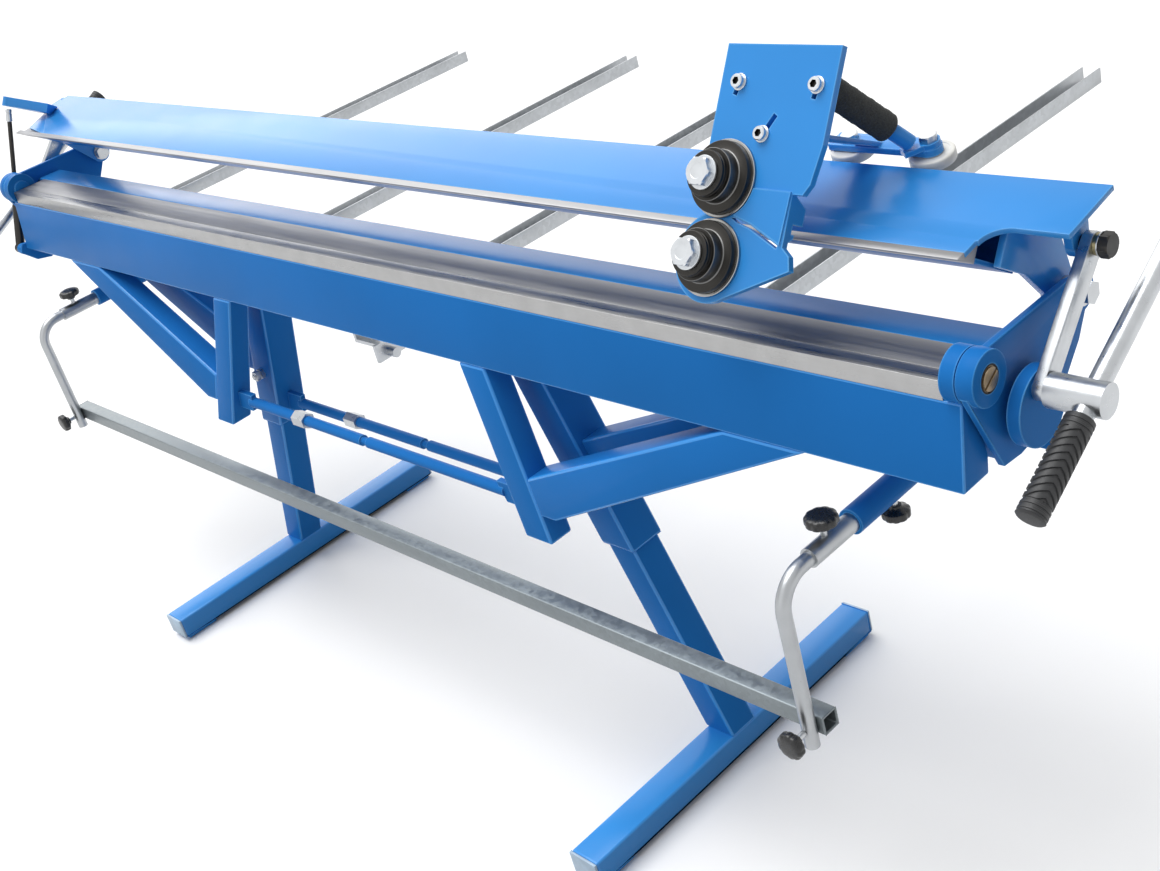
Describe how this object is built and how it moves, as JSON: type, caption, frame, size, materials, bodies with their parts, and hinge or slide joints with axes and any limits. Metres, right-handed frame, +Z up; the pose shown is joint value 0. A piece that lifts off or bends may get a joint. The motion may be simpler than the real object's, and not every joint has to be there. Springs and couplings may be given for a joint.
{
  "type": "roofing sheet metal brake",
  "caption": "Free-standing folding brake for roofing sheet: hinged bending leaf, lever-clamped tilting beam with gas strut, roller slitter carriage, front stop and rear rails.",
  "frame": {"origin": "bottom centre of the bounding box, on the floor", "axes": "+X along the beam to the slitter end, -Y towards the user and the bending leaf, +Z up"},
  "size_m": [2.424, 1.137, 1.0444],
  "materials": {
    "blue_paint": "gloss enamel",
    "zinc": "bright zinc",
    "bare_steel": "ground steel",
    "brass": "turned",
    "black_rubber": "ribbed rubber and foam",
    "black_plastic": "satin",
    "black_metal": "gloss",
    "knife_steel": "blackened steel",
    "white_plastic": "smooth",
    "pale_plastic": "smooth"
  },
  "bodies": {
    "frame": {"bed_beam": "blue_paint", "bed_strip": "bare_steel", "left_side_plate": "blue_paint", "right_side_plate": "blue_paint", "hinge_pins": "brass", "pivot_bolts": "zinc", "stop_screws": "zinc", "leg_sleeves": "blue_paint", "bed_braces": "blue_paint", "bed_tie_rod": "blue_paint", "bed_tie_nut": "zinc", "legs": "blue_paint", "feet": "blue_paint", "foot_caps": "pale_plastic", "leg_bolts": "zinc", "stop_sockets": "blue_paint", "rear_rails": "zinc", "latch_bracket": "zinc"},
    "leaf": {"leaf_beam": "blue_paint", "leaf_strip": "bare_steel", "leaf_posts": "blue_paint", "leaf_braces": "blue_paint", "leaf_tie_rod": "blue_paint", "leaf_tie_nut": "zinc"},
    "clamp_beam": {"beam_plate": "blue_paint", "beam_stiffener": "blue_paint", "nose_strip": "bare_steel", "beam_brackets": "blue_paint", "link_tab": "blue_paint", "strut_arm": "blue_paint"},
    "left_crank": {"left_crank": "blue_paint", "left_hub": "zinc"},
    "right_crank": {"right_crank": "blue_paint", "right_hub": "zinc"},
    "left_lever": {"left_bar": "zinc", "left_grips": "black_rubber"},
    "right_lever": {"right_bar": "zinc", "right_grips": "black_rubber"},
    "left_link": {"left_link": "zinc"},
    "right_link": {"right_link": "zinc"},
    "strut_cylinder": {"strut_cylinder": "black_metal"},
    "strut_rod": {"strut_rod": "black_metal"},
    "stop_tubes": {"stop_tubes": "zinc"},
    "stop_frame": {"stop_arms": "zinc", "stop_bar": "zinc"},
    "left_socket_knob": {"left_socket_knob": "black_plastic"},
    "right_socket_knob": {"right_socket_knob": "black_plastic"},
    "left_arm_knob": {"left_arm_knob": "black_plastic"},
    "right_arm_knob": {"right_arm_knob": "black_plastic"},
    "left_bar_knob": {"left_bar_knob": "black_plastic"},
    "right_bar_knob": {"right_bar_knob": "black_plastic"},
    "slitter": {"slitter_plate": "blue_paint", "slitter_bolts": "zinc", "guide_bar": "blue_paint", "slitter_handle": "blue_paint", "slitter_grip": "black_rubber"},
    "upper_knife": {"upper_knife": "knife_steel"},
    "lower_knife": {"lower_knife": "knife_steel"},
    "guide_roller_a": {"guide_roller_a": "white_plastic"},
    "guide_roller_b": {"guide_roller_b": "white_plastic"}
  },
  "joints": [
    {"name": "leaf_hinge", "type": "hinge", "parent": "frame", "child": "leaf", "pos_m": [0, -0.3115, 0.76], "axis": [-1, 0, 0], "range_deg": [0, 108]},
    {"name": "beam_hinge", "type": "hinge", "parent": "frame", "child": "clamp_beam", "pos_m": [0, -0.1255, 0.76], "axis": [-1, 0, 0], "range_deg": [-33.6, 0], "stiffness_Nm_per_rad": 22, "springref_deg": 91.67},
    {"name": "left_crank_turn", "type": "hinge", "parent": "frame", "child": "left_crank", "pos_m": [-1.13, -0.2525, 0.7], "axis": [-1, 0, 0], "range_deg": [-131.4, 0]},
    {"name": "left_link_turn", "type": "hinge", "parent": "left_crank", "child": "left_link", "pos_m": [-1.144, -0.26065, 0.72658], "axis": [-1, 0, 0], "range_deg": [0, 117.6]},
    {"name": "left_lever_slide", "type": "slide", "parent": "left_crank", "child": "left_lever", "axis": [0, 0.887, 0.4617], "range_m": [-0.12, 0.12]},
    {"name": "right_crank_turn", "type": "hinge", "parent": "frame", "child": "right_crank", "pos_m": [1.13, -0.2525, 0.7], "axis": [-1, 0, 0], "range_deg": [-131.4, 0]},
    {"name": "right_link_turn", "type": "hinge", "parent": "right_crank", "child": "right_link", "pos_m": [1.144, -0.26065, 0.72658], "axis": [-1, 0, 0], "range_deg": [0, 117.6]},
    {"name": "right_lever_slide", "type": "slide", "parent": "right_crank", "child": "right_lever", "axis": [0, 0.887, 0.4617], "range_m": [-0.235, 0.004]},
    {"name": "strut_tilt", "type": "hinge", "parent": "frame", "child": "strut_cylinder", "pos_m": [-1.134, -0.3465, 0.64], "axis": [-1, 0, 0], "range_deg": [-7.14, 0]},
    {"name": "strut_stroke", "type": "slide", "parent": "strut_cylinder", "child": "strut_rod", "axis": [0, 0.3402, 0.9403], "range_m": [-0.10609, 0]},
    {"name": "slitter_travel", "type": "slide", "parent": "clamp_beam", "child": "slitter", "axis": [1, 0, 0], "range_m": [-1.75, 0.06]},
    {"name": "upper_knife_spin", "type": "hinge", "parent": "slitter", "child": "upper_knife", "pos_m": [0.811, -0.29812, 0.93388], "axis": [0, 0.8329, -0.5534], "continuous": true},
    {"name": "lower_knife_spin", "type": "hinge", "parent": "slitter", "child": "lower_knife", "pos_m": [0.811, -0.34438, 0.86425], "axis": [0, 0.8329, -0.5534], "continuous": true},
    {"name": "roller_a_spin", "type": "hinge", "parent": "slitter", "child": "guide_roller_a", "pos_m": [0.841, -0.11455, 0.89099], "axis": [0, -0.1633, 0.9866], "continuous": true},
    {"name": "roller_b_spin", "type": "hinge", "parent": "slitter", "child": "guide_roller_b", "pos_m": [0.945, -0.11455, 0.89099], "axis": [0, -0.1633, 0.9866], "continuous": true},
    {"name": "stop_tube_slide", "type": "slide", "parent": "frame", "child": "stop_tubes", "axis": [0, 1, 0], "range_m": [-0.01, 0.04]},
    {"name": "stop_arm_slide", "type": "slide", "parent": "stop_tubes", "child": "stop_frame", "axis": [0, 1, 0], "range_m": [-0.035, 0.012]},
    {"name": "left_socket_knob_turn", "type": "hinge", "parent": "frame", "child": "left_socket_knob", "pos_m": [-0.925, -0.2445, 0.52], "axis": [0, 0, 1], "continuous": true},
    {"name": "left_arm_knob_turn", "type": "hinge", "parent": "stop_tubes", "child": "left_arm_knob", "pos_m": [-0.925, -0.3665, 0.57], "axis": [0, 0, 1], "continuous": true},
    {"name": "left_bar_knob_turn", "type": "hinge", "parent": "stop_frame", "child": "left_bar_knob", "pos_m": [-0.925, -0.4815, 0.3465], "axis": [0, 1, 0], "continuous": true},
    {"name": "right_socket_knob_turn", "type": "hinge", "parent": "frame", "child": "right_socket_knob", "pos_m": [0.925, -0.2445, 0.52], "axis": [0, 0, 1], "continuous": true},
    {"name": "right_arm_knob_turn", "type": "hinge", "parent": "stop_tubes", "child": "right_arm_knob", "pos_m": [0.925, -0.3665, 0.57], "axis": [0, 0, 1], "continuous": true},
    {"name": "right_bar_knob_turn", "type": "hinge", "parent": "stop_frame", "child": "right_bar_knob", "pos_m": [0.925, -0.4815, 0.3465], "axis": [0, 1, 0], "continuous": true}
  ],
  "couplings": [
    {"joint": "left_crank_turn", "follows": "beam_hinge", "ratio": 3.9078},
    {"joint": "left_link_turn", "follows": "beam_hinge", "ratio": -3.4971},
    {"joint": "right_crank_turn", "follows": "beam_hinge", "ratio": 3.9078},
    {"joint": "right_link_turn", "follows": "beam_hinge", "ratio": -3.4971},
    {"joint": "strut_tilt", "follows": "beam_hinge", "ratio": 0.21111},
    {"joint": "strut_stroke", "follows": "beam_hinge", "m_per_rad": 0.18056}
  ]
}
